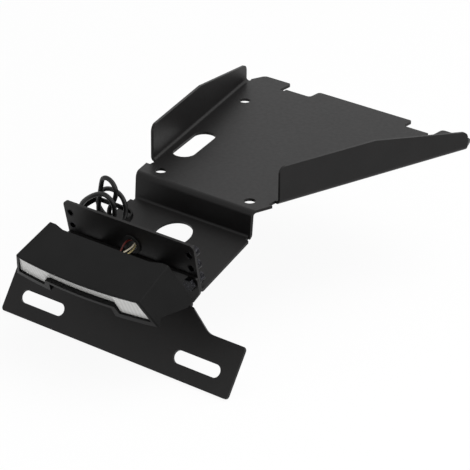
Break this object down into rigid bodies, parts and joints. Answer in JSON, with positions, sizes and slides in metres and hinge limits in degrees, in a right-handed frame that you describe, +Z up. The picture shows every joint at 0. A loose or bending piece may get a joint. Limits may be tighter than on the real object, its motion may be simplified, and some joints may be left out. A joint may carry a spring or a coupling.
{
  "type": "tail tidy",
  "caption": "Black folded-sheet tail tidy with a winged tray, a slotted plate holder, a slim moulded rear light and its wiring.",
  "frame": {"origin": "midway between the two rear mounting holes, on the tray's top face", "axes": "+Y forwards along the tray, +Z up out of the tray's top face, +X to the right"},
  "size_m": [0.1966, 0.3094, 0.1125],
  "materials": {
    "black_powder_coat": "fine satin texture",
    "black_moulding": "satin",
    "clear_lens": "clear, ribbed inside",
    "bright_reflector": "vacuum coated",
    "led_board_green": "satin",
    "led_white": "gloss",
    "black_zinc_steel": "satin",
    "black_rubber": "matte",
    "black_cable": "satin",
    "red_wire": "satin",
    "white_wire": "satin",
    "brown_wire": "satin",
    "yellow_wire": "satin"
  },
  "bodies": {
    "root": {"main_bracket": "black_powder_coat", "plate_holder": "black_powder_coat", "light_housing": "black_moulding", "light_lens": "clear_lens", "led_board": "led_board_green", "light_reflector": "bright_reflector", "leds": "led_white", "plate_lamp_window": "clear_lens", "holder_bolts": "black_zinc_steel", "holder_washers": "black_zinc_steel", "holder_nuts": "black_zinc_steel", "light_bolts": "black_zinc_steel", "light_washers": "black_zinc_steel", "cable_grommet": "black_rubber", "wire_gland": "black_rubber", "wire_red": "red_wire", "wire_white": "white_wire", "wire_brown": "brown_wire", "wire_yellow": "yellow_wire", "light_cable": "black_cable", "cable_hank": "black_cable", "cable_tie": "black_moulding", "connector_lead": "black_cable", "connector_plug": "black_moulding", "press_nuts": "black_zinc_steel"}
  },
  "joints": []
}
